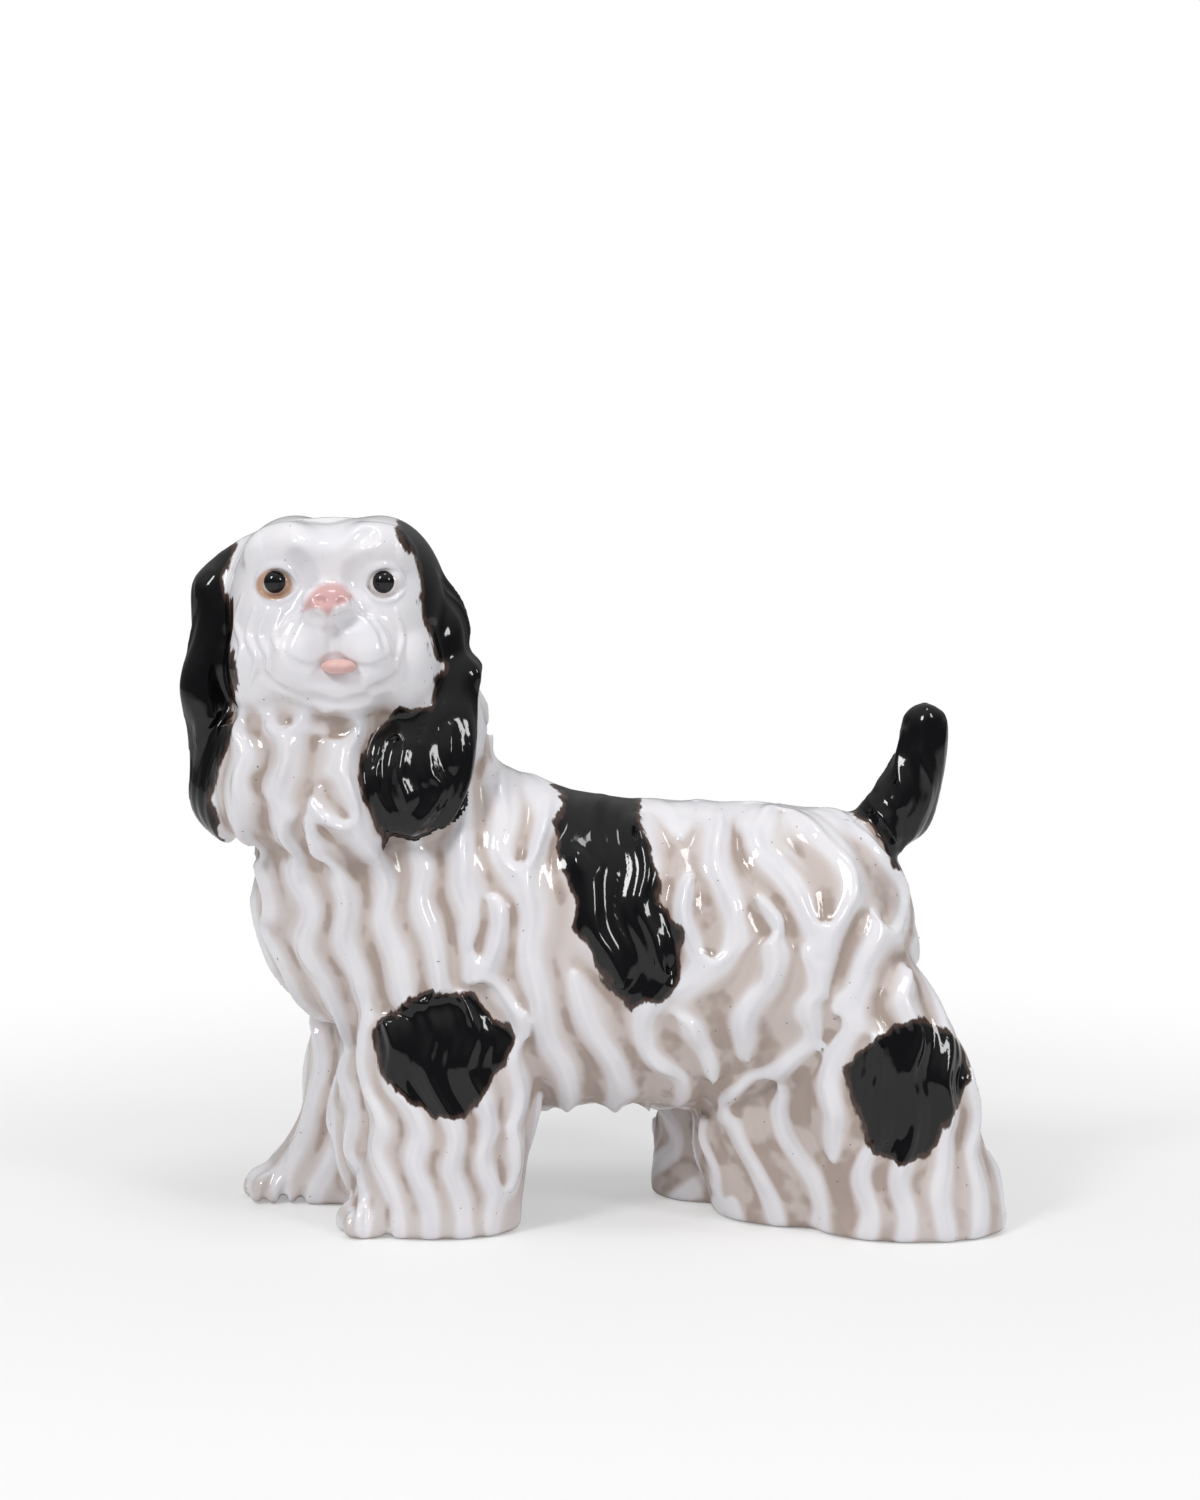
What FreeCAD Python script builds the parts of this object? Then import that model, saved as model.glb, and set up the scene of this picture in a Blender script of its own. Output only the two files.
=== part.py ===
import FreeCAD, Part
import os

# A standing spaniel in white glazed earthenware, made as hollow castings that are luted together.
# Before the parts are set down, X runs from the chest (minus) to the tail (plus), the dog's left
# side and its face look to minus Y, and Z is up from the floor. All sizes are in millimetres.

os.makedirs("parts", exist_ok=True)
doc = FreeCAD.newDocument("standing_spaniel")

SIZES = (
    ("torso_length", 250),
    ("torso_width", 92),
    ("back_height", 160),
    ("fore_breadth", 66),
    ("hind_breadth", 72),
    ("leg_thickness", 42),
    ("fore_place", 61),
    ("hind_place", 112),
    ("fore_stride", 42),
    ("hind_stride", 60),
    ("stance_width", 50),
    ("head_width", 84),
    ("head_depth", 92),
    ("head_height", 72),
    ("head_place", 98),
    ("head_rise", 232),
    ("head_offset", 8),
    ("ear_breadth", 46),
    ("ear_thickness", 24),
    ("ear_drop", 120),
    ("tail_rise", 62),
    ("tail_thickness", 26),
    ("eye_diameter", 8.4),
    ("eye_spacing", 39),
    ("tongue_width", 13),
    ("wall", 5),
    ("vent_diameter", 3.5),
    ("floor_block", 600),
    ("middle_x", 0),
    ("middle_y", 0),
)

sheet = doc.addObject("Spreadsheet::Sheet", "sizes")
cell_of = {}
for line, (word, number) in enumerate(SIZES, start=1):
    sheet.set(f"A{line}", word)
    sheet.set(f"B{line}", str(number))
    sheet.setAlias(f"B{line}", word)
    cell_of[word] = f"B{line}"
doc.recompute()

UP = FreeCAD.Vector(0, 0, 1)
ACROSS = FreeCAD.Vector(0, 1, 0)
UPRIGHT = FreeCAD.Rotation(ACROSS, -90)


def bind(item, **terms):
    """Ties the named properties of an object to sums of sizes."""
    for name, term in terms.items():
        item.setExpression(name.replace("__", "."), term)


def term(share, size):
    """A share of a named size, as the sheet writes it."""
    return f"{share} * sizes.{size}"


def settle(item, centre, turn=None):
    """Puts an object where three sums of sizes say, turned as given."""
    if turn is not None:
        item.Placement = FreeCAD.Placement(FreeCAD.Vector(), turn)
    bind(item, Placement__Base__x=centre[0], Placement__Base__y=centre[1], Placement__Base__z=centre[2])


def mass(name, centre, radii, turn=None):
    """A rounded mass of clay: an ellipsoid with its radii along X, Y and Z."""
    item = doc.addObject("Part::Ellipsoid", name)
    bind(item, Radius2=radii[0], Radius3=radii[1], Radius1=radii[2])
    item.Angle1 = -90
    item.Angle2 = 90
    item.Angle3 = 360
    settle(item, centre, turn)
    return item


def ring(name, centre, long_radius, short_radius, turn=None):
    """One elliptical section of a loft."""
    item = doc.addObject("Part::Ellipse", name)
    bind(item, MajorRadius=long_radius, MinorRadius=short_radius)
    settle(item, centre, turn)
    return item


def loft(name, rings):
    """A smooth solid through a row of sections."""
    item = doc.addObject("Part::Loft", name)
    item.Sections = rings
    item.Solid = True
    item.Ruled = False
    return item


def joined(name, items):
    """Several masses worked into one."""
    item = doc.addObject("Part::MultiFuse", name)
    item.Shapes = items
    return item


def trimmed(name, item, tools):
    """A mass less what its neighbours and its hollow take from it."""
    base = item
    for count, tool in enumerate(tools, start=1):
        cut = doc.addObject("Part::Cut", f"{name}_trim{count}")
        cut.Base = base
        cut.Tool = tool
        base = cut
    return base


# The trunk, in sections from the chest to the rump. Each row has shares of torso_length along X,
# of back_height for the centre's height, of torso_width for the half width and of back_height
# for the half height.
TRUNK_SHARES = (
    (-0.44, 0.78, 0.30, 0.25),
    (-0.36, 0.74, 0.41, 0.36),
    (-0.26, 0.71, 0.455, 0.42),
    (-0.15, 0.675, 0.48, 0.415),
    (-0.03, 0.64, 0.485, 0.385),
    (0.09, 0.63, 0.485, 0.375),
    (0.22, 0.628, 0.50, 0.37),
    (0.33, 0.65, 0.48, 0.33),
    (0.40, 0.67, 0.38, 0.25),
)

# Chest, rump, both shoulders, both haunches and the neck: shares of torso_length, torso_width and
# back_height, first for the centre and then for the radii.
TRUNK_MASS_SHARES = {
    "chest": (-0.36, 0, 0.81, 0.168, 0.45, 0.37),
    "rump": (0.318, 0, 0.675, 0.166, 0.475, 0.312),
    "left_shoulder": (-0.25, -0.21, 0.66, 0.13, 0.27, 0.30),
    "right_shoulder": (-0.27, 0.21, 0.66, 0.13, 0.27, 0.30),
    "left_haunch": (0.31, -0.22, 0.60, 0.155, 0.28, 0.29),
    "right_haunch": (0.27, 0.22, 0.58, 0.155, 0.28, 0.29),
    "neck": (-0.31, -0.02, 1.13, 0.145, 0.36, 0.27),
}


def trunk_row(name, shares, inset):
    """One section of the trunk, drawn in by inset walls."""
    along, rise, half_width, half_height = shares
    centre = (term(along, "torso_length"), "0", term(rise, "back_height"))
    less = f" - {inset} * sizes.wall"
    tall = term(half_height, "back_height") + less
    wide = term(half_width, "torso_width") + less
    return ring(name, centre, tall, wide, UPRIGHT)


def trunk_mass(name, shares):
    """One rounded mass of the trunk."""
    words = ("torso_length", "torso_width", "back_height")
    centre = [term(share, word) for share, word in zip(shares[:3], words)]
    radii = [term(share, word) for share, word in zip(shares[3:], words)]
    return mass(name, centre, radii)


trunk_rings = [trunk_row(f"trunk_ring{count}", row, 0) for count, row in enumerate(TRUNK_SHARES)]
trunk = loft("trunk", trunk_rings)
trunk_masses = [trunk_mass(name, row) for name, row in TRUNK_MASS_SHARES.items()]
body_form = joined("body_form", [trunk] + trunk_masses)
hollow_rings = [trunk_row(f"hollow_ring{count}", row, 1) for count, row in enumerate(TRUNK_SHARES)]
body_hollow = loft("body_hollow", hollow_rings)

# The legs are columns of hanging hair, in level sections from the floor up. Each row has the
# height as a share of back_height, the shift along X and half length as shares of the column's
# breadth, and the shift outwards and half thickness as shares of leg_thickness.
LEFT_FORE_SHARES = (
    (0.0, 0.0, 0.47, 0.0, 0.42),
    (0.05, 0.0, 0.50, 0.0, 0.48),
    (0.16, 0.045, 0.49, 0.02, 0.50),
    (0.31, 0.075, 0.50, 0.04, 0.52),
    (0.47, 0.06, 0.53, 0.02, 0.50),
    (0.62, 0.04, 0.44, -0.08, 0.38),
)
RIGHT_FORE_SHARES = (
    (0.0, 0.0, 0.46, 0.0, 0.44),
    (0.06, 0.0, 0.48, 0.0, 0.49),
    (0.15, 0.10, 0.43, 0.0, 0.48),
    (0.31, 0.21, 0.42, 0.0, 0.50),
    (0.47, 0.31, 0.44, -0.02, 0.48),
    (0.62, 0.38, 0.40, -0.10, 0.38),
)
LEFT_HIND_SHARES = (
    (0.0, 0.05, 0.50, 0.0, 0.52),
    (0.07, 0.05, 0.51, 0.0, 0.57),
    (0.16, 0.0, 0.49, 0.0, 0.56),
    (0.30, -0.07, 0.485, 0.02, 0.56),
    (0.41, -0.12, 0.485, 0.02, 0.55),
    (0.53, -0.22, 0.44, 0.0, 0.52),
    (0.66, -0.34, 0.40, -0.08, 0.44),
)
RIGHT_HIND_SHARES = (
    (0.0, 0.0, 0.44, 0.05, 0.47),
    (0.07, 0.0, 0.455, 0.05, 0.50),
    (0.19, 0.02, 0.455, 0.03, 0.50),
    (0.34, 0.09, 0.47, 0.0, 0.52),
    (0.53, 0.22, 0.44, -0.08, 0.50),
)


def leg(name, rows, place, breadth, side, inset=0):
    """A column of hanging hair on one side, drawn in by inset walls."""
    rings = []
    for count, (rise, along, half_length, outwards, half_thickness) in enumerate(rows):
        less = f" - {inset} * sizes.wall"
        centre = (
            f"{place} + " + term(along, breadth),
            f"{side} * (0.5 * sizes.stance_width + " + term(outwards, "leg_thickness") + ")",
            term(rise, "back_height"),
        )
        long_radius = term(half_length, breadth) + less
        short_radius = term(half_thickness, "leg_thickness") + less
        rings.append(ring(f"{name}_ring{count}", centre, long_radius, short_radius))
    return loft(name, rings)


def leg_web(name, place, breadth, shares):
    """The hair that fills the space between a pair of legs, down to the floor."""
    along, rise, radius_x, radius_y, radius_z = shares
    centre = (f"{place} + " + term(along, breadth), "0", term(rise, "back_height"))
    radii = (term(radius_x, breadth), term(radius_y, "stance_width"), term(radius_z, "back_height"))
    return mass(name, centre, radii)


left_fore_place = "-1 * sizes.fore_place"
right_fore_place = "-1 * sizes.fore_place - sizes.fore_stride"
left_hind_place = "sizes.hind_place"
right_hind_place = "sizes.hind_place - sizes.hind_stride"

# Toes of the two fore paws: shares of fore_breadth forwards, of leg_thickness sideways.
TOE_SHARES = ((-0.40, -0.28), (-0.46, -0.05), (-0.42, 0.20))
TOE_SIZE_SHARES = (0.13, 0.15, 0.22)
WEB_SHARES = {
    "fore_web": (-0.20, 0.22, 0.44, 0.62, 0.30),
    "hind_web": (-0.40, 0.22, 0.66, 0.66, 0.40),
}

fore_pieces = [
    leg("left_fore_column", LEFT_FORE_SHARES, left_fore_place, "fore_breadth", -1),
    leg("right_fore_column", RIGHT_FORE_SHARES, right_fore_place, "fore_breadth", 1),
    leg_web("fore_web", left_fore_place, "fore_breadth", WEB_SHARES["fore_web"]),
]
hind_pieces = [
    leg("left_hind_column", LEFT_HIND_SHARES, left_hind_place, "hind_breadth", -1),
    leg("right_hind_column", RIGHT_HIND_SHARES, right_hind_place, "hind_breadth", 1),
    leg_web("hind_web", left_hind_place, "hind_breadth", WEB_SHARES["hind_web"]),
]
for paw, place, side in (("left", left_fore_place, -1), ("right", right_fore_place, 1)):
    for count, (forwards, sideways) in enumerate(TOE_SHARES, start=1):
        toe_x = f"{place} + " + term(forwards, "fore_breadth")
        toe_y = f"{side} * 0.5 * sizes.stance_width + " + term(sideways, "leg_thickness")
        toe_z = term(0.5 * TOE_SIZE_SHARES[2], "leg_thickness")
        size_terms = (
            term(TOE_SIZE_SHARES[0], "fore_breadth"),
            term(TOE_SIZE_SHARES[1], "leg_thickness"),
            term(TOE_SIZE_SHARES[2], "leg_thickness"),
        )
        fore_pieces.append(mass(f"{paw}_toe{count}", (toe_x, toe_y, toe_z), size_terms))

fore_form = joined("fore_form", fore_pieces)
hind_form = joined("hind_form", hind_pieces)

# Each column is hollow from above its foot up into the trunk.
fore_hollow = joined("fore_hollow", [
    leg("left_fore_hollow", LEFT_FORE_SHARES[1:], left_fore_place, "fore_breadth", -1, 1),
    leg("right_fore_hollow", RIGHT_FORE_SHARES[1:], right_fore_place, "fore_breadth", 1, 1),
])
hind_hollow = joined("hind_hollow", [
    leg("left_hind_hollow", LEFT_HIND_SHARES[1:], left_hind_place, "hind_breadth", -1, 1),
    leg("right_hind_hollow", RIGHT_HIND_SHARES[1:], right_hind_place, "hind_breadth", 1, 1),
])

under_floor = doc.addObject("Part::Box", "under_floor")
bind(under_floor, Length="sizes.floor_block", Width="sizes.floor_block", Height="sizes.floor_block")
half_block = "-0.5 * sizes.floor_block"
settle(under_floor, (half_block, half_block, "-1 * sizes.floor_block"))

# The head is modelled about its own centre. Rows are shares of head_width, head_depth and
# head_height, first for the centre and then for the radii.
HEAD_SHARES = {
    "crown": (0.0, 0.03, -0.05, 0.40, 0.46, 0.50),
    "left_crown": (0.19, 0.0, -0.02, 0.30, 0.45, 0.50),
    "right_crown": (-0.19, 0.0, -0.02, 0.30, 0.45, 0.50),
    "face": (0.0, -0.10, -0.25, 0.46, 0.40, 0.42),
    "eye_band": (0.0, -0.19, 0.10, 0.43, 0.25, 0.32),
    "left_brow": (0.21, -0.30, 0.27, 0.17, 0.11, 0.10),
    "right_brow": (-0.21, -0.30, 0.27, 0.17, 0.11, 0.10),
    "left_cheek": (0.29, -0.16, -0.30, 0.19, 0.29, 0.30),
    "right_cheek": (-0.29, -0.16, -0.30, 0.19, 0.29, 0.30),
    "bridge": (0.02, -0.40, -0.04, 0.13, 0.14, 0.15),
    "left_lip": (0.15, -0.42, -0.26, 0.165, 0.17, 0.20),
    "right_lip": (-0.10, -0.42, -0.26, 0.165, 0.17, 0.20),
    "nose": (0.015, -0.555, 0.045, 0.105, 0.07, 0.085),
    "chin": (0.05, -0.36, -0.43, 0.20, 0.18, 0.13),
    "ruff": (-0.06, -0.10, -0.80, 0.45, 0.37, 0.55),
    "ruff_fall": (0.06, -0.32, -0.98, 0.22, 0.19, 0.36),
    "ruff_side": (-0.37, -0.14, -0.86, 0.17, 0.24, 0.36),
    "nape": (0.10, 0.20, -0.45, 0.40, 0.30, 0.52),
}
HEAD_HOLLOW_SHARES = (0.0, 0.02, -0.30, 0.40, 0.37, 0.68)
HEAD_WORDS = ("head_width", "head_depth", "head_height")
HEAD_CENTRE = ("-1 * sizes.head_place", "-1 * sizes.head_offset", "sizes.head_rise")


def on_head(shares):
    """A place on the head, from shares of its three sizes."""
    return [f"{start} + " + term(share, word) for start, share, word in zip(HEAD_CENTRE, shares, HEAD_WORDS)]


def head_mass(name, shares):
    """One rounded mass of the head."""
    radii = [term(share, word) for share, word in zip(shares[3:], HEAD_WORDS)]
    return mass(name, on_head(shares[:3]), radii)


head_form = joined("head_form", [head_mass(name, row) for name, row in HEAD_SHARES.items()])
head_hollow = head_mass("head_hollow", HEAD_HOLLOW_SHARES)

# The raised eyes and the tongue are small pellets let into the face.
EYE_PLACE_SHARES = (0.01, -0.405, 0.133)
EYE_DEPTH_SHARE = 0.42
TONGUE_SHARES = (0.065, -0.555, -0.325)
TONGUE_SIZE_SHARES = (0.5, 0.55, 0.22)


def eye(name, side):
    """A raised eye, half of eye_spacing from the middle of the face."""
    middle, depth, rise = on_head(EYE_PLACE_SHARES)
    centre = (f"{middle} + {side} * 0.5 * sizes.eye_spacing", depth, rise)
    radius = "0.5 * sizes.eye_diameter"
    return mass(name, centre, (radius, f"{EYE_DEPTH_SHARE} * sizes.eye_diameter", radius))


left_eye = eye("left_eye", 1)
right_eye = eye("right_eye", -1)
tongue = mass("tongue", on_head(TONGUE_SHARES), [term(share, "tongue_width") for share in TONGUE_SIZE_SHARES])

# The ears hang as long lobes, the left one with a second lobe that turns towards the front. Each
# row has the drop as a share of ear_drop, the shift along X and Y as shares of ear_breadth, the
# half breadth as a share of ear_breadth and the half thickness as a share of ear_thickness.
EAR_LOBE_SHARES = {
    "left_upper": (
        (0.00, -0.48, 0.06, 0.14, 0.21),
        (0.10, -0.28, 0.03, 0.28, 0.33),
        (0.22, -0.12, 0.00, 0.34, 0.40),
        (0.33, -0.04, -0.07, 0.34, 0.42),
        (0.42, -0.09, -0.15, 0.28, 0.35),
        (0.50, -0.12, -0.22, 0.20, 0.24),
    ),
    "left_lower": (
        (0.38, 0.00, -0.15, 0.20, 0.30),
        (0.49, 0.00, -0.30, 0.26, 0.42),
        (0.57, -0.09, -0.46, 0.35, 0.46),
        (0.66, -0.16, -0.59, 0.445, 0.50),
        (0.76, -0.21, -0.67, 0.457, 0.50),
        (0.845, -0.24, -0.73, 0.39, 0.44),
        (0.91, -0.28, -0.76, 0.25, 0.32),
        (0.94, -0.30, -0.77, 0.11, 0.15),
    ),
    "right": (
        (0.04, 0.34, 0.06, 0.14, 0.21),
        (0.12, 0.05, 0.05, 0.28, 0.37),
        (0.22, -0.065, 0.03, 0.34, 0.42),
        (0.345, -0.076, 0.02, 0.37, 0.44),
        (0.487, -0.15, 0.0, 0.40, 0.48),
        (0.61, -0.10, -0.02, 0.38, 0.44),
        (0.745, -0.087, -0.04, 0.35, 0.42),
        (0.845, -0.12, -0.06, 0.31, 0.39),
        (0.93, -0.076, -0.08, 0.22, 0.29),
        (0.975, -0.04, -0.09, 0.11, 0.16),
    ),
}
EAR_TOP_SHARES = (0.5, 0.02, 0.41)
SIDEWAYS_TURN = 82
FORWARD_TURN = 14


def ear_lobe(name, side, turn):
    """One lobe of a hanging ear, its long section axis turned about Z."""
    top_x, top_y, top_z = on_head((side * EAR_TOP_SHARES[0], EAR_TOP_SHARES[1], EAR_TOP_SHARES[2]))
    rings = []
    for count, (drop, along, across, half_breadth, half_thickness) in enumerate(EAR_LOBE_SHARES[name]):
        centre = (
            f"{top_x} + " + term(along, "ear_breadth"),
            f"{top_y} + " + term(across, "ear_breadth"),
            f"{top_z} - " + term(drop, "ear_drop"),
        )
        long_radius = term(half_breadth, "ear_breadth")
        short_radius = term(half_thickness, "ear_thickness")
        turned = FreeCAD.Rotation(UP, turn)
        rings.append(ring(f"{name}_lobe_ring{count}", centre, long_radius, short_radius, turned))
    return loft(f"{name}_lobe", rings)


left_lobes = [ear_lobe("left_upper", 1, SIDEWAYS_TURN), ear_lobe("left_lower", 1, FORWARD_TURN)]
left_ear_form = joined("left_ear_form", left_lobes)
right_ear_form = ear_lobe("right", -1, SIDEWAYS_TURN)

# The docked tail stands up from the rump. Each row has the rise as a share of tail_rise, the shift
# along X, the half length and the half thickness as shares of tail_thickness.
TAIL_SHARES = (
    (-0.24, -0.34, 0.50, 0.44),
    (-0.04, -0.10, 0.66, 0.52),
    (0.17, 0.10, 0.62, 0.50),
    (0.38, 0.30, 0.50, 0.45),
    (0.60, 0.42, 0.43, 0.40),
    (0.80, 0.46, 0.385, 0.365),
)
TAIL_ROOT_SHARES = (0.445, 0.94)
TAIL_TIP_SHARES = (0.80, 0.46, 0.385, 0.365, 0.20)
tail_root_x = term(TAIL_ROOT_SHARES[0], "torso_length")
tail_root_z = term(TAIL_ROOT_SHARES[1], "back_height")


def tail_centre(rise, along):
    """A place on the middle line of the tail."""
    return (f"{tail_root_x} + " + term(along, "tail_thickness"), "0", f"{tail_root_z} + " + term(rise, "tail_rise"))


tail_rings = []
for count, (rise, along, half_length, half_thickness) in enumerate(TAIL_SHARES):
    spans = (term(half_length, "tail_thickness"), term(half_thickness, "tail_thickness"))
    tail_rings.append(ring(f"tail_ring{count}", tail_centre(rise, along), *spans))
tip_rise, tip_along, tip_x, tip_y, tip_z = TAIL_TIP_SHARES
tip_radii = (term(tip_x, "tail_thickness"), term(tip_y, "tail_thickness"), term(tip_z, "tail_rise"))
tail_tip = mass("tail_tip", tail_centre(tip_rise, tip_along), tip_radii)
tail_form = joined("tail_form", [loft("tail_stem", tail_rings), tail_tip])

# A pinhole lets the steam out of the hollow while the piece is fired.
VENT_SHARES = (-0.02, 0.16, 0.30)
vent = doc.addObject("Part::Cylinder", "vent")
bind(vent, Radius="0.5 * sizes.vent_diameter", Height=term(VENT_SHARES[2], "back_height"))
settle(vent, (term(VENT_SHARES[0], "torso_length"), "0", term(VENT_SHARES[1], "back_height")))

NODES = {
    "body_casting": (body_form, [body_hollow, head_hollow, fore_hollow, hind_hollow, vent]),
    "fore_legs_casting": (fore_form, [body_form, under_floor, fore_hollow]),
    "hind_legs_casting": (hind_form, [body_form, under_floor, hind_hollow]),
    "head_casting": (head_form, [body_form, head_hollow, left_eye, right_eye, tongue]),
    "left_ear": (left_ear_form, [body_form, head_form]),
    "right_ear": (right_ear_form, [body_form, head_form]),
    "tail_casting": (tail_form, [body_form]),
    "left_eye": (left_eye, []),
    "right_eye": (right_eye, []),
    "tongue": (tongue, []),
}
finals = {}
for label, (form, tools) in NODES.items():
    if tools:
        piece = trimmed(label, form, tools)
    else:
        piece = doc.addObject("Part::Compound", label + "_pellet")
        piece.Links = [form]
    piece.Label = label + "_part"
    finals[label] = piece
doc.recompute()

# The figure is set down with the middle of its outline over the origin.
box = FreeCAD.BoundBox()
for piece in finals.values():
    box.add(piece.Shape.optimalBoundingBox())
sheet.set(cell_of["middle_x"], str(box.Center.x))
sheet.set(cell_of["middle_y"], str(box.Center.y))
doc.recompute()
for piece in finals.values():
    bind(piece, Placement__Base__x="-1 * sizes.middle_x", Placement__Base__y="-1 * sizes.middle_y")
doc.recompute()

for item in doc.Objects:
    if "Invalid" in item.State or "Error" in item.State:
        raise RuntimeError(f"{item.Label} did not build: {item.State}")
for label, piece in finals.items():
    shape = piece.Shape
    if shape.isNull() or not shape.isValid():
        raise RuntimeError(f"{label} has no valid shape")
    print(label, len(shape.Solids), "solids", len(shape.Faces), "faces", round(shape.Volume), "mm3")
for label, piece in finals.items():
    piece.Shape.exportStep(f"parts/{label}.step")
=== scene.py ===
import math

import bpy
import numpy as np
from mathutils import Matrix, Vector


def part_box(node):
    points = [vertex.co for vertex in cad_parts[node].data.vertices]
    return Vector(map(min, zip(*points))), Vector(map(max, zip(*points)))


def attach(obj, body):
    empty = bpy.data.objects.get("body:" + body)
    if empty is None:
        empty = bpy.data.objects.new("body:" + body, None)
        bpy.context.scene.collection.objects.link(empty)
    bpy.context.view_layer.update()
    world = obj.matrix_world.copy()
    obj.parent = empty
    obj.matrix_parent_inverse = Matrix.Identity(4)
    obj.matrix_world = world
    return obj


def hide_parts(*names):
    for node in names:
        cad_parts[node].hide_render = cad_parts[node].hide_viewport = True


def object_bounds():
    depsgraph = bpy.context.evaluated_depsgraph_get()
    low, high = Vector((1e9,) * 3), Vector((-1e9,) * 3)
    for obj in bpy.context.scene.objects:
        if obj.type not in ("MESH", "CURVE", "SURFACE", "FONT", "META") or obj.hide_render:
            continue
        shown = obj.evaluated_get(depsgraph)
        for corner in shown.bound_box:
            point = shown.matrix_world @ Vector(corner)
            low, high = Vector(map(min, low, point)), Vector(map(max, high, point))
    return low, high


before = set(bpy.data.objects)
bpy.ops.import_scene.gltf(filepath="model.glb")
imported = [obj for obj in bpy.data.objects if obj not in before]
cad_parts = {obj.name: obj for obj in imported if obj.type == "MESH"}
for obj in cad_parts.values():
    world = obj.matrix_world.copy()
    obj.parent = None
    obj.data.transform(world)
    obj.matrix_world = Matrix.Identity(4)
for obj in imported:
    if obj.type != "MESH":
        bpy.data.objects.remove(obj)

import openvdb
from mathutils import Vector
from mathutils.bvhtree import BVHTree

# The figure is worked in millimetres as one clay form, kept as distances on a grid. The castings
# give the form; hair, face and glaze are added here, and the finished skin is parted again along
# the castings.
cad_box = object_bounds()
MM = 0.001

# Cells of the main grid and of the face's grid, and how far out distances are kept.
STEP = 1.1
FINE_STEP = 0.55
BAND = 9.0

CASTINGS = (
    "body_casting", "fore_legs_casting", "hind_legs_casting", "head_casting",
    "left_ear", "right_ear", "tail_casting",
)
BODY, FORE, HIND, HEAD, LEFT_EAR, RIGHT_EAR, TAIL = range(len(CASTINGS))
rng = np.random.default_rng(7)


def box_mm(name):
    """The two corners of a casting's box in millimetres."""
    return [np.array(corner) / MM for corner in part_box(name)]


# The photograph and its camera, placed from the left eye.
PICTURE = np.array([1200.0, 1500.0])
MIDDLE = PICTURE / 2
FOCAL_PIXELS = 2374.0
EYE_FROM_AXIS = np.array([-77.66, -45.26])
left_eye_middle = sum(box_mm("left_eye")) / 2
shift = np.append(left_eye_middle[:2] - EYE_FROM_AXIS, 0.0)
CAMERA = np.array([0, -900.0, 240.0]) + shift
AIM = np.array([0, 0, 178.0]) + shift
ahead = (AIM - CAMERA) / np.linalg.norm(AIM - CAMERA)
right = np.cross(ahead, [0, 0, 1.0])
right /= np.linalg.norm(right)
up = np.cross(right, ahead)
spine_y = AIM[1]


def pixels(points):
    """Where points show in the photograph's frame."""
    ray = points - CAMERA
    depth = ray @ ahead
    across = MIDDLE[0] + FOCAL_PIXELS * (ray @ right) / depth
    down = MIDDLE[1] - FOCAL_PIXELS * (ray @ up) / depth
    return np.stack([across, down], axis=1)


def rays(spots):
    """The ways in which the camera looks through pixels of the photograph."""
    spots = np.asarray(spots, dtype=float) - MIDDLE
    return ahead * FOCAL_PIXELS + spots[:, :1] * right - spots[:, 1:] * up


def ease(values, start, end):
    """A smooth step from nothing at start to one at end."""
    share = np.clip((values - start) / (end - start), 0, 1)
    return share * share * (3 - 2 * share)


# The tail stands a little lower than its casting, drawn down above its root.
TAIL_ROOT_Z = 150.0
TAIL_DRAWN_IN = 0.765


def node_mesh(name):
    """Corners in millimetres and triangles of a CAD node, the tail's upper part drawn down."""
    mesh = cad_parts[name].data
    mesh.calc_loop_triangles()
    corners = np.empty(len(mesh.vertices) * 3, dtype=np.float64)
    mesh.vertices.foreach_get("co", corners)
    faces = np.empty(len(mesh.loop_triangles) * 3, dtype=np.int64)
    mesh.loop_triangles.foreach_get("vertices", faces)
    corners = corners.reshape(-1, 3) / MM
    if name == "tail_casting":
        corners[:, 2] = TAIL_ROOT_Z + TAIL_DRAWN_IN * (corners[:, 2] - TAIL_ROOT_Z)
    return corners, faces.reshape(-1, 3)


def blurred(field, cells):
    """A field smoothed with a bell curve along each axis."""
    reach = int(math.ceil(3 * cells))
    bell = np.exp(-0.5 * (np.arange(-reach, reach + 1) / cells) ** 2)
    bell /= bell.sum()
    for axis in range(3):
        total = np.zeros_like(field)
        for offset, weight in zip(range(-reach, reach + 1), bell):
            total += np.roll(field, offset, axis=axis) * np.float32(weight)
        field = total
    return field


def spread(axes):
    """The places along three axes, ready to be worked together."""
    return np.meshgrid(*[axis.astype(np.float32) for axis in axes], indexing="ij", sparse=True)


# How often and how boldly a ray steps on towards the form.
RAY_STRIDES = 60
RAY_STRIDE = 0.9
# The thinnest a laid lock gets, and how much of its rise is left at its tip.
THINNEST = 0.5
TIP_RISE = 0.1


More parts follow.
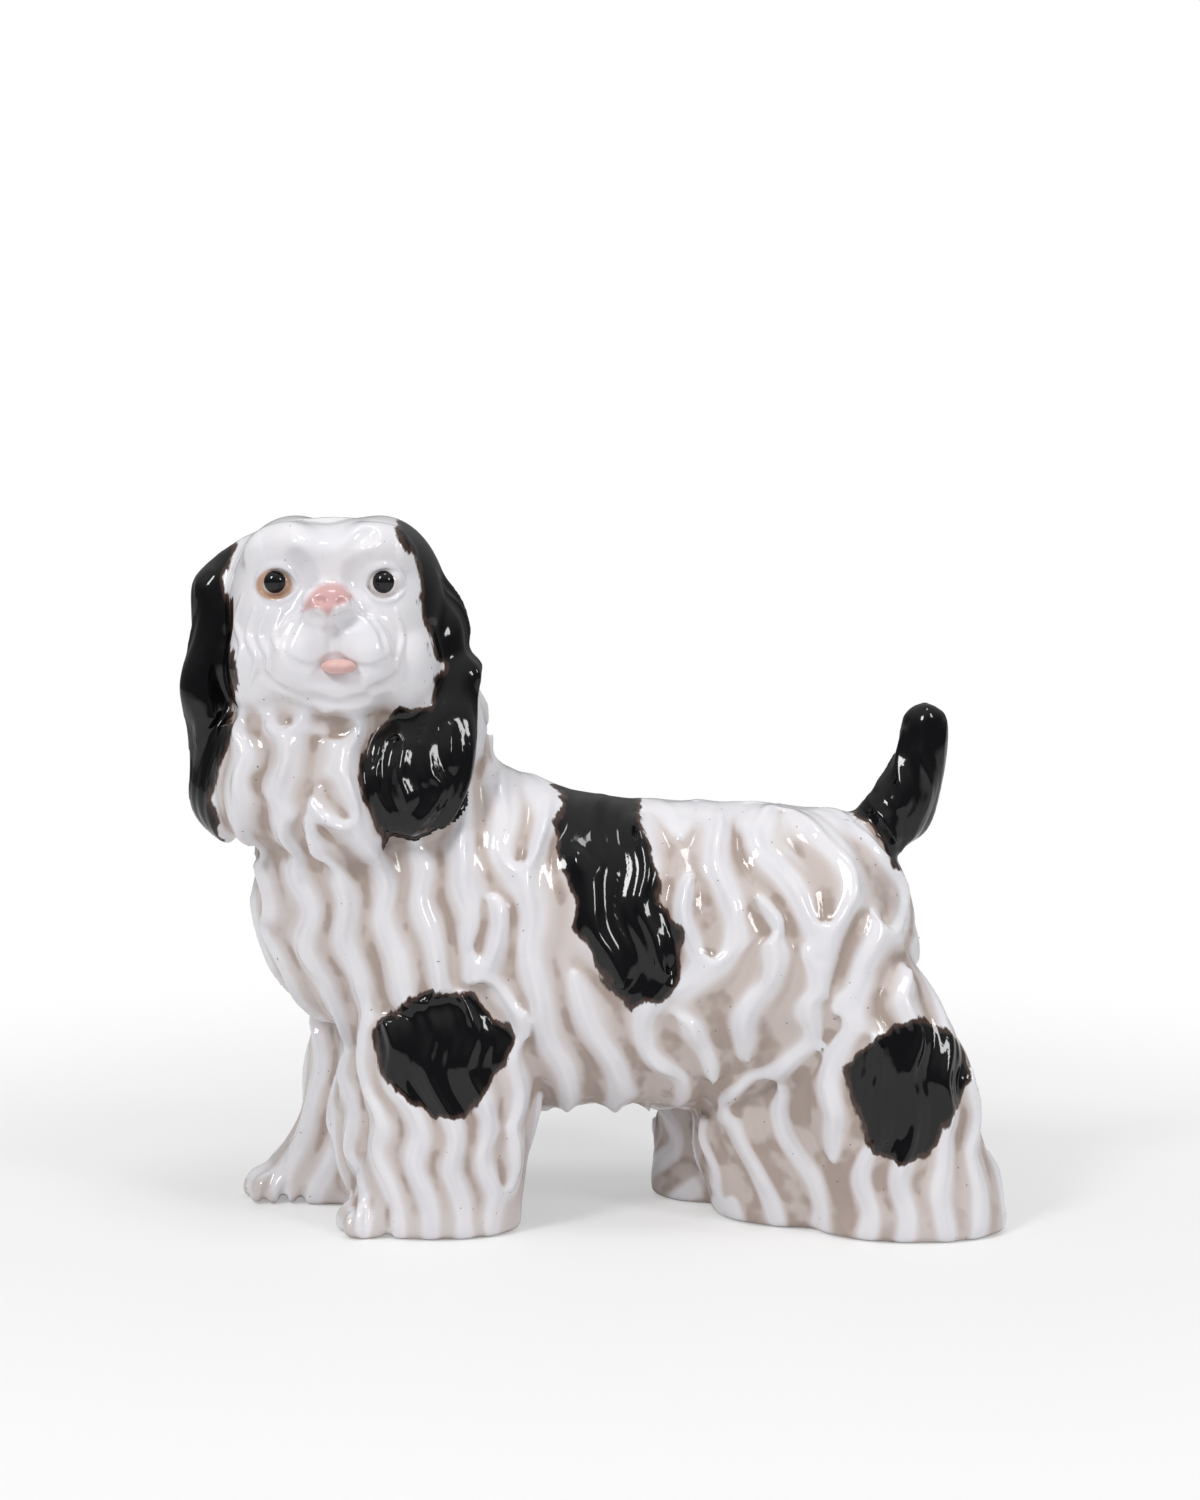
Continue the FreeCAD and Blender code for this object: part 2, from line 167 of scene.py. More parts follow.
class Clay:
    """A form kept as signed distances, in millimetres, on a grid of cells."""

    def __init__(self, field, origin, step):
        self.field = field
        self.origin = np.asarray(origin, dtype=float)
        self.step = step
        self.bare = field.copy()

    def sample(self, points, bare=False):
        """Distances at points."""
        return self.between(self.bare if bare else self.field, points)

    def between(self, grid, points):
        """Values of some grid at points, between the cells."""
        cell = (points - self.origin) / self.step
        cell = np.clip(cell, 0, np.array(grid.shape) - 1.001)
        base = cell.astype(int)
        part = (cell - base).astype(np.float32)
        total = 0
        for corner in range(8):
            dx, dy, dz = corner & 1, corner >> 1 & 1, corner >> 2 & 1
            weight = part[:, 0] if dx else 1 - part[:, 0]
            weight = weight * (part[:, 1] if dy else 1 - part[:, 1])
            weight = weight * (part[:, 2] if dz else 1 - part[:, 2])
            total = total + weight * grid[base[:, 0] + dx, base[:, 1] + dy, base[:, 2] + dz]
        return total

    def slope(self, points, bare=False):
        """The outward direction at points."""
        sides = []
        for axis in range(3):
            step = np.zeros(3)
            step[axis] = self.step
            sides.append(self.sample(points + step, bare) - self.sample(points - step, bare))
        out = np.stack(sides, axis=1)
        return out / np.maximum(np.linalg.norm(out, axis=1, keepdims=True), 1e-6)

    def onto(self, points):
        """Points moved onto the bare form."""
        for _ in range(2):
            points = points - self.slope(points, True) * self.sample(points, True)[:, None]
        return points

    def hit(self, spots):
        """The points of the bare form that show at pixels of the photograph."""
        ray = rays(spots)
        ray /= np.linalg.norm(ray, axis=1, keepdims=True)
        start = (self.origin[1] - CAMERA[1]) / ray[:, 1]
        points = CAMERA + ray * start[:, None]
        for _ in range(RAY_STRIDES):
            points = points + ray * self.sample(points, True)[:, None] * RAY_STRIDE
        return self.onto(points)

    def window(self, low, high):
        """The cells between two corners, and their places."""
        first = np.floor((low - self.origin) / self.step).astype(int)
        last = np.ceil((high - self.origin) / self.step).astype(int) + 1
        first, last = np.clip(first, 0, self.field.shape), np.clip(last, 0, self.field.shape)
        if np.any(last <= first):
            return None, None
        axes = [self.origin[k] + self.step * np.arange(first[k], last[k]) for k in range(3)]
        return tuple(slice(*ends) for ends in zip(first, last)), spread(axes)

    def work(self, part, tool, blend, carve):
        """Adds a tool's form to the clay or carves it away, with a rounded join."""
        here = -self.field[part] if carve else self.field[part]
        mix = np.clip(0.5 + 0.5 * (here - tool) / blend, 0, 1)
        here = here * (1 - mix) + tool * mix - blend * mix * (1 - mix)
        self.field[part] = -here if carve else here

    def roll(self, points, radii, blend, carve=False):
        """A tapered roll of clay along some points."""
        reach = radii.max() + 2 * blend + self.step
        part, places = self.window(points.min(0) - reach, points.max(0) + reach)
        if part is None:
            return
        gx, gy, gz = places
        nearest = None
        for a, b, ra, rb in zip(points[:-1], points[1:], radii[:-1], radii[1:]):
            run = (b - a).astype(np.float32)
            length = float(run @ run)
            if length < 1e-6:
                continue
            px, py, pz = gx - np.float32(a[0]), gy - np.float32(a[1]), gz - np.float32(a[2])
            along = np.clip((px * run[0] + py * run[1] + pz * run[2]) / np.float32(length), 0, 1)
            qx, qy, qz = px - along * run[0], py - along * run[1], pz - along * run[2]
            radius = np.float32(ra) + np.float32(rb - ra) * along
            gap = np.sqrt(qx * qx + qy * qy + qz * qz) - radius
            nearest = gap if nearest is None else np.minimum(nearest, gap)
        if nearest is not None:
            self.work(part, nearest, blend, carve)

    def ball(self, centre, radii, blend, carve=False):
        """A rounded mass with its radii along X, Y and Z."""
        radii = np.asarray(radii, dtype=float)
        reach = radii + 2 * blend + self.step
        part, places = self.window(centre - reach, centre + reach)
        sx, sy, sz = [
            (place - np.float32(c)) / np.float32(r) for place, c, r in zip(places, centre, radii)
        ]
        size = np.sqrt(sx ** 2 + sy ** 2 + sz ** 2)
        self.work(part, (size - 1) * np.float32(radii.min()), blend, carve)

    def lay(self, path, radius, rise, blend):
        """A lock of hair that swells from its root, tapers to its tip and stands proud by rise."""
        share = np.linspace(0, 1, len(path))
        swell = np.sin(math.pi * (0.14 + 0.82 * share)) ** 0.6
        radii = np.maximum(radius * swell, THINNEST)
        height = rise * np.sin(math.pi * (0.10 + 0.70 * share)) ** 0.8
        height *= 1 - ease(share, 0.9, 1.0) * (1 - TIP_RISE)
        path = path + self.slope(path, True) * (height - radii)[:, None]
        self.roll(path, radii, blend)

    def groove(self, path, radius, depth, blend):
        """A groove that fades out at both ends."""
        share = np.linspace(0, 1, len(path))
        deep = depth * np.sin(math.pi * (0.06 + 0.88 * share)) ** 0.5
        radii = np.full(len(path), float(radius))
        path = path + self.slope(path, True) * (radii - deep)[:, None]
        self.roll(path, radii, blend, carve=True)

    def skin(self):
        """The finished surface: corners in millimetres and quads."""
        grid = openvdb.FloatGrid(float(BAND))
        grid.copyFromArray(np.ascontiguousarray(self.field, dtype=np.float32))
        grid.transform = openvdb.createLinearTransform(voxelSize=self.step)
        corners, quads = grid.convertToQuads(0.0)
        return corners.astype(np.float64) + self.origin, quads.astype(np.int64)


low, high = np.array(cad_box) / MM
MARGIN = 12.0
origin = low - MARGIN
shape = np.ceil((high - low + 2 * MARGIN) / STEP).astype(int)


def distances(corners, band, **faces):
    """Signed distances to a closed mesh on the main grid, kept within the band."""
    points = np.ascontiguousarray(corners - origin, dtype=np.float32)
    faces = {kind: np.ascontiguousarray(rows, dtype=np.uint32) for kind, rows in faces.items()}
    transform = openvdb.createLinearTransform(voxelSize=STEP)
    grid = openvdb.FloatGrid.createLevelSetFromPolygons(
        points, transform=transform, halfWidth=band / STEP, **faces
    )
    field = np.full(shape, band, dtype=np.float32)
    grid.copyToArray(field)
    return field


def reached_from_outside(open_cells):
    """Open cells met from outside, swept along the three axes in turn."""
    reached = np.zeros(open_cells.shape, dtype=bool)
    for side in (0, -1):
        reached[side] = open_cells[side]
        reached[:, side] = open_cells[:, side]
    reached[:, :, -1] = open_cells[:, :, -1]
    for _ in range(4):
        for axis in range(3):
            count = np.arange(open_cells.shape[axis], dtype=np.int32)
            count = count.reshape([-1 if side == axis else 1 for side in range(3)])
            for flip in (False, True):
                cells = np.flip(open_cells, axis) if flip else open_cells
                seen = np.flip(reached, axis) if flip else reached
                last_wall = np.maximum.accumulate(np.where(cells, -1, count), axis=axis)
                last_seen = np.maximum.accumulate(np.where(seen, count, -2), axis=axis)
                seen |= cells & (last_seen > last_wall)
    return reached


# The filled hollow's ragged edges are smoothed over these cells, the joints over these millimetres.
RAGGED_CELLS = 2.0
JOINT_BLUR = 1.6


def walled_in(solid):
    """Open cells with a wall on every side, the open feet of the hollow legs counted too."""
    wall = solid < 0
    met = np.zeros(solid.shape, dtype=np.int8)
    for axis in range(3):
        met += np.maximum.accumulate(wall, axis=axis)
        met += np.flip(np.maximum.accumulate(np.flip(wall, axis), axis=axis), axis)
    covered = np.flip(np.maximum.accumulate(np.flip(wall, 2), axis=2), 2)
    over_a_foot = covered & (met == 5) & ~np.maximum.accumulate(wall, axis=2)
    inside_wall = wall | (met == 6) | over_a_foot
    return blurred(inside_wall.astype(np.float32), RAGGED_CELLS) > 0.5


meshes = [node_mesh(name) for name in CASTINGS]


def clay_form():
    """The castings as one closed form with their hollow filled and their joints smoothed."""
    solid = np.full(shape, BAND, dtype=np.float32)
    for corners, triangles in meshes:
        solid = np.minimum(solid, distances(corners, 3 * STEP, triangles=triangles))
    solid = np.where(walled_in(solid) & (solid > 0), -STEP, solid)
    pocket = (solid > 0) & ~reached_from_outside(solid > 0)
    solid[pocket] = -STEP
    steep = np.clip(solid / (2 * STEP), -1, 1)
    smooth = Clay(blurred(steep, JOINT_BLUR / STEP), origin, STEP)
    corners, quads = smooth.skin()
    return distances(corners, BAND, quads=quads)


starts = np.cumsum([0] + [len(corners) for corners, _ in meshes])
finder = BVHTree.FromPolygons(
    np.concatenate([corners for corners, _ in meshes]).tolist(),
    np.concatenate([triangles + start for (_, triangles), start in zip(meshes, starts)]).tolist(),
)
owner_of_face = np.repeat(range(len(meshes)), [len(triangles) for _, triangles in meshes])


def owners_at(points):
    """The number of the casting nearest to each point."""
    found = [finder.find_nearest(point)[2] for point in points.tolist()]
    return owner_of_face[np.array(found)]


clay = Clay(clay_form(), origin, STEP)

# Hair is worked in a coat that is first drawn in a little, so that its crests keep the outline.
# The front of the face and the crown are smooth.
COAT_INSET = 1.7
gx, gy, gz = spread([origin[k] + STEP * np.arange(shape[k]) for k in range(3)])
head_low, head_high = box_mm("head_casting")
tail_low = box_mm("tail_casting")[0]
face_front = ease(-gy, 2, 12) * ease(gz, 186, 198) * ease(-gx, 40, 50)
hairy_share = 1 - np.maximum(face_front, ease(gz, 235, 250))
inset = COAT_INSET * hairy_share * ease(gz, -2, 14)
clay.field += inset.astype(np.float32)
clay.bare = clay.field.copy()


def spline(spots, spacing):
    """A smooth run of places through some spots."""
    spots = np.reshape(spots, (-1, 2)).astype(float)
    ends = np.concatenate([2 * spots[:1] - spots[1:2], spots, 2 * spots[-1:] - spots[-2:-1]])
    run = []
    for k in range(1, len(ends) - 2):
        a, b, c, d = ends[k - 1:k + 3]
        count = max(2, int(np.linalg.norm(c - b) / spacing))
        t = np.linspace(0, 1, count, endpoint=False)[:, None]
        bend, twist = 2 * a - 5 * b + 4 * c - d, 3 * b - a - 3 * c + d
        run.append(0.5 * (2 * b + (c - a) * t + bend * t ** 2 + twist * t ** 3))
    run.append(spots[-1:])
    return np.concatenate(run)


# Crest lines of the locks that the photograph shows, each a run of x and y in its pixels.
FLANK_LOCKS = (
    (650, 797, 673, 808, 694, 828, 707, 852, 711, 882, 704, 916),
    (727, 828, 717, 855, 721, 885, 734, 916, 734, 943, 711, 970, 687, 990, 667, 1010),
    (765, 814, 754, 838, 765, 858, 788, 882, 800, 902),
    (744, 882, 768, 909, 785, 936, 782, 970, 768, 997),
    (802, 821, 829, 845, 846, 868, 849, 899, 836, 929, 832, 960, 829, 1021),
    (853, 824, 876, 852, 896, 879, 903, 909, 890, 936, 869, 960, 856, 990, 836, 1010),
    (896, 875, 915, 897, 922, 923, 917, 950, 900, 1004),
    (754, 943, 768, 956, 765, 977, 748, 1007, 741, 1027, 744, 1051),
    (802, 1004, 815, 1031, 802, 1054, 771, 1068, 744, 1081, 727, 1108, 734, 1135, 754, 1156),
    (646, 1007, 640, 1037, 653, 1061, 680, 1071, 683, 1095, 663, 1122),
    (687, 1021, 700, 1037, 717, 1078), (579, 997, 589, 1021, 602, 1044, 613, 1064, 608, 1092),
    (460, 821, 467, 852, 484, 889, 498, 916, 494, 950, 471, 977),
    (531, 852, 528, 882, 531, 916, 525, 950, 542, 993, 558, 1031),
    (514, 973, 531, 1010, 545, 1044, 565, 1064, 570, 1092),
    (498, 790, 506, 820, 498, 850, 510, 880, 512, 905),
    (600, 800, 592, 835, 604, 870, 598, 905, 612, 940, 628, 975),
    (640, 840, 648, 875, 640, 905, 655, 935, 662, 965, 655, 992),
    (570, 840, 577, 870, 590, 900, 588, 930, 602, 965),
    (690, 880, 680, 915, 694, 945, 690, 968, 676, 985),
    (800, 905, 812, 930, 806, 960, 812, 985, 800, 1010), (868, 905, 872, 930, 860, 955, 850, 985),
    (620, 1050, 632, 1078, 622, 1105), (860, 1020, 838, 1048, 826, 1080, 838, 1112, 830, 1150),
    (790, 1080, 778, 1108, 790, 1140, 812, 1170, 820, 1200),
)
CHEST_LOCKS = (
    (262, 872, 272, 900, 268, 930, 284, 960, 296, 990),
    (298, 880, 314, 912, 306, 945, 324, 980, 336, 1012),
    (338, 872, 350, 905, 342, 938, 358, 972, 366, 1005),
    (378, 850, 390, 885, 382, 918, 398, 950, 404, 985),
    (412, 836, 426, 868, 418, 902, 434, 938, 440, 975),
    (446, 850, 456, 884, 470, 915, 466, 950, 482, 985), (312, 985, 326, 1018, 318, 1052, 330, 1085),
    (494, 950, 500, 985, 516, 1015, 522, 1050), (282, 955, 290, 985, 306, 1012),
)
LEG_LOCKS = (
    (345, 1010, 353, 1042, 344, 1076, 356, 1108, 350, 1146, 362, 1180, 372, 1205),
    (374, 1085, 386, 1120, 377, 1155, 392, 1188, 398, 1218),
    (412, 1100, 424, 1132, 415, 1168, 430, 1200, 432, 1228),
    (446, 1108, 458, 1140, 450, 1172, 462, 1202, 462, 1228),
    (482, 1090, 492, 1122, 482, 1158, 492, 1190, 486, 1218),
    (514, 1062, 520, 1094, 508, 1128, 514, 1160, 506, 1195),
    (318, 1030, 322, 1064, 312, 1098, 306, 1130, 292, 1160),
    (336, 1060, 340, 1095, 330, 1130, 332, 1165, 322, 1190),
    (870, 1150, 862, 1180, 874, 1210, 870, 1232), (905, 1152, 894, 1184, 908, 1214, 904, 1236),
    (938, 1130, 946, 1165, 936, 1196, 948, 1232),
    (968, 1085, 975, 1120, 966, 1152, 980, 1188, 978, 1225),
    (905, 1010, 918, 1040, 908, 1075, 918, 1110, 908, 1150),
    (940, 1015, 948, 1048, 940, 1082, 946, 1116), (876, 1040, 884, 1072, 874, 1104, 884, 1140),
    (752, 1110, 744, 1140, 756, 1170, 768, 1198), (716, 1110, 706, 1140, 716, 1168, 706, 1192),
    (682, 1105, 674, 1138, 684, 1165, 676, 1190), (385, 1025, 395, 1052, 388, 1080, 402, 1104),
    (425, 1005, 436, 1035, 426, 1064, 438, 1096), (465, 1005, 476, 1036, 464, 1066, 470, 1096),
)
RUFF_LOCKS = (
    (226, 735, 217, 765, 214, 798, 223, 828, 252, 850, 282, 864, 302, 880),
    (266, 705, 273, 731, 288, 755, 277, 781, 258, 800, 262, 826),
    (300, 700, 299, 735, 286, 781, 293, 808, 314, 831, 312, 862),
    (323, 706, 324, 738, 336, 758, 312, 783, 316, 808, 343, 828, 366, 848, 370, 864),
    (349, 708, 358, 738, 344, 765, 352, 795, 368, 822),
    (244, 700, 240, 730, 250, 758, 240, 785, 238, 812), (276, 800, 284, 825, 296, 846),
)
EAR_STRANDS = (
    (412, 540, 438, 562, 456, 598, 466, 640),
    (420, 590, 436, 636, 450, 672, 464, 705, 471, 745, 466, 785, 450, 812),
    (409, 711, 388, 735, 376, 765, 378, 795, 390, 818, 386, 834),
    (440, 700, 424, 732, 428, 765, 442, 790, 430, 812, 412, 830),
    (400, 722, 408, 750, 398, 778, 404, 802),
    (222, 548, 204, 580, 198, 620, 206, 660, 201, 700, 211, 740, 203, 780, 212, 822),
    (188, 650, 187, 690, 196, 730, 193, 770, 200, 808), (906, 735, 898, 762, 902, 792, 888, 822),
    (926, 716, 920, 755, 930, 788, 916, 826, 903, 850), (943, 728, 944, 768, 936, 802),
    (868, 802, 884, 818, 897, 842),
)

# Hair is laid as short waves. Each has a place, a way to run, a spacing from crest to crest and a
# rise. It takes its phase from the waves already there, so that crests run on from one to the next,
# and fades out over these reaches.
wave = np.zeros(shape, dtype=np.complex64)
loft = np.zeros(shape, dtype=np.float32)
cover = np.zeros(shape, dtype=np.float32)
ALONG_REACH, ACROSS_REACH, DEPTH_REACH = 8.5, 7.0, 7.0


def spaced(points, apart):
    """A scatter of the points, no two closer than apart."""
    cells = {}
    chosen = []
    for index in rng.permutation(len(points)):
        spot = points[index] / apart
        key = tuple(np.floor(spot).astype(int))
        near = [
            other for dx in (-1, 0, 1) for dy in (-1, 0, 1) for dz in (-1, 0, 1)
            for other in cells.get((key[0] + dx, key[1] + dy, key[2] + dz), ())
        ]
        if all(np.sum((other - spot) ** 2) >= 1 for other in near):
            cells.setdefault(key, []).append(spot)
            chosen.append(index)
    return np.array(chosen, dtype=int)


def stamp(centre, along, out, bend, spacing, rise, weight=1.0, leading=False):
    """Adds one short wave, with a crest through its centre or led by the waves already there."""
    reach = 2.0 * max(ALONG_REACH, ACROSS_REACH)
    part, places = clay.window(centre - reach, centre + reach)
    if part is None:
        return
    away = [place - np.float32(c) for place, c in zip(places, centre)]
    ahead_by, aside_by, off_by = [
        sum(gap * np.float32(share) for gap, share in zip(away, way))
        for way in (along, np.cross(out, along), out)
    ]
    gap = (
        (ahead_by / ALONG_REACH) ** 2 + (aside_by / ACROSS_REACH) ** 2
        + (off_by / DEPTH_REACH) ** 2
    )
    bell = np.exp(-0.5 * gap) * np.float32(weight)
    turn = np.float32(2 * math.pi / spacing) * (aside_by - np.float32(bend / 2) * ahead_by ** 2)
    own = bell * np.exp(1j * turn)
    if not leading:
        met = np.vdot(own, wave[part])
        own = own * np.complex64(np.exp(1j * np.angle(met)) if abs(met) > 1e-3 else 1)
    wave[part] += own
    loft[part] += bell * np.float32(rise)
    cover[part] += bell


# Each lock seen in the photograph leads with a crest of its own, up to where it leaps over an edge
# of the form. Each table has its own spacing and rise.
PIXEL_SPACING = 15.0
LONGEST_STEP = 14.0
LEAD_WEIGHT = 2.2
LEADS = (
    (FLANK_LOCKS, 20.0, 4.4),
    (CHEST_LOCKS, 16.0, 4.0),
    (LEG_LOCKS, 15.5, 3.2),
    (RUFF_LOCKS, 18.0, 5.0),
    (EAR_STRANDS, 10.0, 2.0),
)
lead_spots, lead_ways = [], []
bare_corners, _ = clay.skin()
bare_owner = owners_at(bare_corners)
bare_normal = clay.slope(bare_corners, True)
for locks, spacing, rise in LEADS:
    for spots in locks:
        path = clay.hit(spline(spots, PIXEL_SPACING))
        run = np.diff(path, axis=0)
        length = np.linalg.norm(run, axis=1)
        unbroken = np.cumprod(length < LONGEST_STEP).astype(bool)
        middles = ((path[1:] + path[:-1]) / 2)[unbroken]
        ways = (run / np.maximum(length, 1e-3)[:, None])[unbroken]
        if len(middles) < 2:
            continue
        outs = clay.slope(middles, True)
        turns = np.gradient(ways, axis=0) / length[unbroken].mean()
        for centre, way, out, turned in zip(middles, ways, outs, turns):
            bend = turned @ np.cross(out, way)
            stamp(centre, way, out, bend, spacing, rise, LEAD_WEIGHT, leading=True)
        lead_spots.append(middles)
        lead_ways.append(ways)
lead_spots, lead_ways = np.concatenate(lead_spots), np.concatenate(lead_ways)


# Beside the seen locks the hair follows them, over this reach, and keeps a share of its own way.
LED_BY = 9.0
OWN_WAY = 0.25


def flow(points, sway, wave_length):
    """The way the hair runs: down in waves, and beside the seen locks as they do."""
    down = np.array([0.0, 0.0, -1.0])
    out = clay.slope(points, True)
    fall = down - out * (out @ down)[:, None]
    fall /= np.maximum(np.linalg.norm(fall, axis=1, keepdims=True), 0.05)
    side = np.cross(out, fall)
    x, y, z = points.T
    drift = 2.4 * np.sin(x / 19.0) + 1.4 * np.sin(y / 15.0 + z / 37.0)
    swing = sway * np.sin(2 * math.pi * z / wave_length + drift)
    way = fall * np.cos(swing)[:, None] + side * np.sin(swing)[:, None]
    gap = np.sum((points[:, None] - lead_spots) ** 2, axis=2)
    way = OWN_WAY * way + np.exp(-0.5 * gap / LED_BY ** 2) @ lead_ways
    way -= out * np.sum(out * way, axis=1, keepdims=True)
    return way / np.maximum(np.linalg.norm(way, axis=1, keepdims=True), 1e-3), out


# How far before and after a wave the flow is looked at for its bend.
LOOK = 4.0


def comb(zone, apart, sway, wave_length, spacing, rises):
    """Fills a zone of the bare form with waves, from the top down."""
    points, rises = bare_corners[zone], np.broadcast_to(rises, zone.shape)[zone]
    chosen = spaced(points, apart)
    chosen = chosen[np.argsort(-points[chosen, 2])]
    points, rises = points[chosen], rises[chosen]
    ways, outs = flow(points, sway, wave_length)
    before, _ = flow(clay.onto(points - LOOK * ways), sway, wave_length)
    after, _ = flow(clay.onto(points + LOOK * ways), sway, wave_length)
    bends = np.sum((after - before) * np.cross(outs, ways), axis=1) / (2 * LOOK)
    for row in zip(points, ways, outs, bends, rises):
        stamp(*row[:4], spacing, row[4])


# The coat lies flatter on the back and towards the feet. The flank has the broadest locks.
COAT_RISE = 3.7
RUFF_HEIGHT = 55.0
bx, by, bz = bare_corners.T
upward = ease(bare_normal[:, 2], 0.5, 0.92)
coat_rise = COAT_RISE * (1 - 0.75 * upward) * ease(bz, -4, 30)
coat = (bare_owner <= HIND) & (bz > 1) & (bare_normal[:, 2] > -0.8)
on_flank = coat & (bx > -15) & (bz > 62)
on_head = bare_owner == HEAD
ruff = on_head & (bz < head_low[2] + RUFF_HEIGHT)
nape = on_head & (bz >= head_low[2] + RUFF_HEIGHT) & (by > spine_y - 8) & (bz < 240)
strand_rise = np.where(bare_owner == TAIL, 1.0, 1.8)

# Zone, distance between waves, how far and over what length the hair sways, spacing and rise.
COMBED = (
    (on_flank, 8.0, 1.05, 54.0, 19.0, coat_rise),
    (coat & ~on_flank, 7.5, 0.9, 52.0, 16.0, coat_rise),
    (ruff, 7.5, 0.6, 50.0, 16.5, 4.2),
    (nape, 7.5, 0.5, 50.0, 13.0, 2.4),
    (bare_owner >= LEFT_EAR, 6.5, 0.4, 44.0, 10.0, strand_rise),
)
for row in COMBED:
    comb(*row)

# The waves become broad crests with fine strands, that swell and sink along their run and die down
# towards the floor. The far side stands out over the castings' box by no more than a little.
FAR_SIDE_PROUD = 1.5
STRAND_RISE = 0.07
phase = np.angle(wave)
crests = ((1 + np.cos(phase + 0.5 * np.sin(phase))) / 2) ** 0.75
swell = 0.72 + 0.28 * np.sin(gz / 8.0 + 3.0 * np.sin(gx / 10.0) + 2.0 * np.sin(gy / 12.0))
strength = ease(cover, 0.1, 0.6) * loft / np.maximum(cover, 1e-3) * hairy_share
strength *= 0.2 + 0.8 * ease(gz, 2, 26)
locks = strength * (swell * crests + STRAND_RISE * np.cos(3 * phase))
clay.field -= locks.astype(np.float32)
clay.field = np.maximum(clay.field, (gy - (high[1] + FAR_SIDE_PROUD)).astype(np.float32))

# Toes are parted by short grooves.
TOE_GROOVES = (
    (356, 1196, 351, 1214, 350, 1230), (370, 1200, 367, 1220, 367, 1237),
    (388, 1206, 387, 1224, 388, 1240), (272, 1176, 266, 1192, 264, 1206),
    (288, 1182, 283, 1198, 281, 1213), (304, 1188, 300, 1204, 299, 1219),
)
for spots in TOE_GROOVES:
    clay.groove(clay.hit(spline(spots, 4.0)), 1.8, 1.6, 1.0)

# The feet stay flat on the floor.
clay.field = np.maximum(clay.field, -gz)


def at_depth(spots, depth):
    """Places in an upright plane, y = depth, that show at pixels of the photograph."""
    ray = rays(spots)
    return CAMERA + ray * ((depth - CAMERA[1]) / ray[:, 1])[:, None]


# The right ear leaves the skull high up, and the dip in the crown is filled a little.
EAR_SHOULDER = ((250, 556), (232, 566), (219, 584), (212, 610), (210, 640))
CROWN_DIP = ((333, 532), (333, 526))
ear_depth = sum(box_mm("right_ear"))[1] / 2
shoulder = at_depth(spline(EAR_SHOULDER, 8.0), ear_depth)
clay.roll(shoulder, np.linspace(7.0, 5.5, len(shoulder)), 6.0)
for spot in CROWN_DIP:
    clay.ball(clay.hit([spot])[0] - np.array([0, 0, 6.5]), (17.0, 17.0, 7.5), 9.0)

# The face is worked on a finer grid. Its border keeps the main form, so that the two skins meet,
# and the rest is smoothed before features are added.
FACE_BLUR = 3.2
FACE_LOW = np.array([head_low[0] - 4, head_low[1] - 12, 190.0])
FACE_HIGH = np.array([head_high[0] - 6, spine_y - 20, head_high[2] + 12])
fine_shape = np.ceil((FACE_HIGH - FACE_LOW) / FINE_STEP).astype(int)
fine_axes = [FACE_LOW[k] + FINE_STEP * np.arange(fine_shape[k]) for k in range(3)]
fine_places = np.stack(np.meshgrid(*fine_axes, indexing="ij"), axis=-1).reshape(-1, 3)
face = Clay(clay.sample(fine_places).reshape(fine_shape).astype(np.float32), FACE_LOW, FINE_STEP)
fx, fy, fz = spread(fine_axes)
inner = np.minimum(
    np.minimum(fx - FACE_LOW[0], FACE_HIGH[0] - fx), np.minimum(FACE_HIGH[1] - fy, fz - FACE_LOW[2])
)
untouched = face.field.copy()
soft = blurred(face.field, FACE_BLUR / FINE_STEP)
on_face = ease(inner, 5, 14) * ease(fz, 196, 204) * ease(FACE_HIGH[2] - fz, 9, 12)
face.field = face.field * (1 - on_face) + soft * on_face
face.bare = face.field.copy()


def dab(spot, radii, sink, blend, carve=False):
    """A rounded mass on the face at a pixel of the photograph, sunk by a depth."""
    place = face.hit([spot])[0]
    out = face.slope(place[None], True)[0]
    face.ball(place - out * sink, radii, blend, carve)


def crest(spots, radius, rise, blend):
    """A raised line on the face through pixels of the photograph."""
    face.lay(face.hit(spline(spots, 3.0)), radius, rise, blend)


def crease(spots, radius, depth, blend):
    """A groove on the face through pixels of the photograph."""
    face.groove(face.hit(spline(spots, 3.0)), radius, depth, blend)


# Brows and the ridge of the nose, the furrow between the brows, and dips beside the ridge.
crest(((252, 548), (268, 534), (292, 534), (312, 550)), 7.5, 1.8, 6.0)
crest(((354, 550), (372, 535), (394, 534), (410, 548)), 7.5, 1.8, 6.0)
crest(((331, 600), (331, 575), (330, 552)), 9.0, 2.2, 5.0)
crease(((326, 514), (329, 535), (331, 556)), 12.0, 1.2, 6.0)
crease(((348, 552), (356, 543), (364, 538)), 4.0, 1.0, 2.5)
crease(((302, 590), (304, 574), (300, 562)), 6.0, 1.4, 3.0)
crease(((358, 588), (356, 574), (360, 562)), 6.0, 1.2, 3.0)

# Upper lips, chin and the corners of the mouth.
dab((307, 634), (10.5, 7.5, 10.5), 5.0, 2.6)
dab((360, 633), (9.8, 7.5, 10.2), 5.0, 2.6)
dab((335, 684), (13.0, 7.0, 6.0), 4.6, 2.5)
dab((292, 648), (8.0, 6.0, 6.5), 4.6, 3.0)
dab((374, 648), (7.0, 6.0, 6.5), 4.6, 3.0)
face.bare = face.field.copy()

